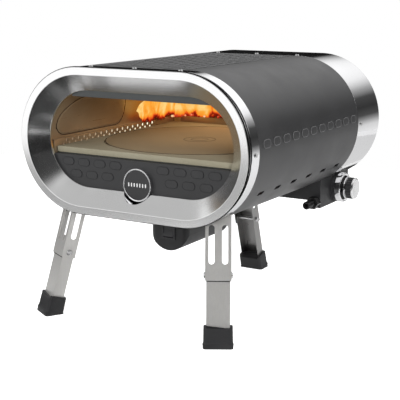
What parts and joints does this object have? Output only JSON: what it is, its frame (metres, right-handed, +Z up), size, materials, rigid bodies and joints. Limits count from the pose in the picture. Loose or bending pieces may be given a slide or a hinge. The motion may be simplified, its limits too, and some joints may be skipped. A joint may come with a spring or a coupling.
{
  "type": "pizza oven",
  "caption": "Portable gas pizza oven: stadium-section casing with an open mouth, a revolving stone driven from below, a side gas knob and folding legs.",
  "frame": {"origin": "centre of the bounding box, on the floor under the feet", "axes": "+X to the right as seen from the front, +Y from the mouth to the back, +Z up"},
  "size_m": [0.436, 0.549, 0.422],
  "materials": {
    "brushed_stainless": "fine horizontal brushing",
    "polished_stainless": "bright polished",
    "charcoal_paint": "satin, fine texture",
    "dark_panel": "satin",
    "heat_tinted_steel": "straw and bronze heat tint",
    "grey_steel": "dull, cold rolled",
    "cordierite": "fine grained, matt",
    "toasted_cordierite": "fine grained, toasted",
    "black_plastic": "fine spark texture",
    "black_gloss": "semi gloss",
    "seal_rubber": "matt",
    "foot_rubber": "matt",
    "brass": "machined",
    "dark_brass": "blackened",
    "leg_steel": "brushed along the leg",
    "screw_steel": "bright",
    "ceramic_wool": "matt felt",
    "ceramic_white": "glazed",
    "cell_wrap": "shrink sleeve",
    "motor_steel": "zinc plated",
    "bronze": "sintered"
  },
  "bodies": {
    "casing": {"front_bezel": "brushed_stainless", "bezel_seal": "seal_rubber", "front_collar": "polished_stainless", "outer_shell": "charcoal_paint", "rear_cap": "polished_stainless", "back_panel": "dark_panel", "inner_chamber": "heat_tinted_steel", "chamber_back": "heat_tinted_steel", "mouth_baffle": "grey_steel", "insulation": "ceramic_wool", "front_panel": "dark_panel", "badge_ring": "polished_stainless", "badge_face": "black_gloss", "deck_stone": "cordierite", "shaft_bush": "bronze", "deck_pan": "grey_steel", "gear_motor": "motor_steel", "battery_cells": "cell_wrap", "motor_housing": "black_plastic", "housing_cover": "black_plastic", "motor_bracket": "motor_steel", "switch_frame": "black_gloss", "burner_tube": "grey_steel", "flame_guard": "heat_tinted_steel", "gas_pipe": "brass", "gas_valve": "brass", "knob_bezel": "polished_stainless", "control_box": "black_plastic", "inlet_nut": "dark_brass", "inlet_spigot": "dark_brass", "igniter": "ceramic_white", "leg_bracket_left": "leg_steel", "leg_bracket_right": "leg_steel", "leg_bracket_rear": "leg_steel", "leg_pin_left": "screw_steel", "leg_pin_right": "screw_steel", "leg_pin_rear": "screw_steel", "collar_screws": "screw_steel", "cap_screws": "screw_steel", "back_screws": "screw_steel", "leg_screws": "screw_steel", "motor_screws": "screw_steel", "housing_screws": "screw_steel", "control_screws": "screw_steel"},
    "turntable": {"drive_shaft": "motor_steel", "turntable_plate": "grey_steel", "stone_disc": "toasted_cordierite"},
    "knob_slide": {"spindle_collar": "motor_steel"},
    "knob": {"valve_spindle": "motor_steel", "gas_knob": "black_plastic", "knob_cap": "brushed_stainless"},
    "switch_rocker": {"power_switch": "black_gloss"},
    "left_leg": {"leg_lower_left": "leg_steel", "leg_foot_left": "foot_rubber"},
    "right_leg": {"leg_lower_right": "leg_steel", "leg_foot_right": "foot_rubber"},
    "rear_leg": {"leg_lower_rear": "leg_steel", "leg_foot_rear": "foot_rubber"}
  },
  "joints": [
    {"name": "stone_spin", "type": "hinge", "parent": "casing", "child": "turntable", "pos_m": [0, -0.02854, 0.24], "axis": [0, 0, 1], "continuous": true},
    {"name": "knob_push", "type": "slide", "parent": "casing", "child": "knob_slide", "axis": [-1, 0, 0], "range_m": [0, 0.003], "stiffness_N_per_m": 900},
    {"name": "knob_turn", "type": "hinge", "parent": "knob_slide", "child": "knob", "pos_m": [0.15, 0.21146, 0.1735], "axis": [1, 0, 0], "range_deg": [0, 180]},
    {"name": "switch_rock", "type": "hinge", "parent": "casing", "child": "switch_rocker", "pos_m": [0, -0.12954, 0.1375], "axis": [1, 0, 0], "range_deg": [0, 14]},
    {"name": "left_leg_fold", "type": "hinge", "parent": "casing", "child": "left_leg", "pos_m": [-0.151, -0.22454, 0.105], "axis": [0.866, -0.5, 0], "range_deg": [0, 106]},
    {"name": "right_leg_fold", "type": "hinge", "parent": "casing", "child": "right_leg", "pos_m": [0.151, -0.22454, 0.105], "axis": [0.866, 0.5, 0], "range_deg": [0, 106]},
    {"name": "rear_leg_fold", "type": "hinge", "parent": "casing", "child": "rear_leg", "pos_m": [0, 0.15146, 0.105], "axis": [-1, 0, 0], "range_deg": [0, 107]}
  ]
}
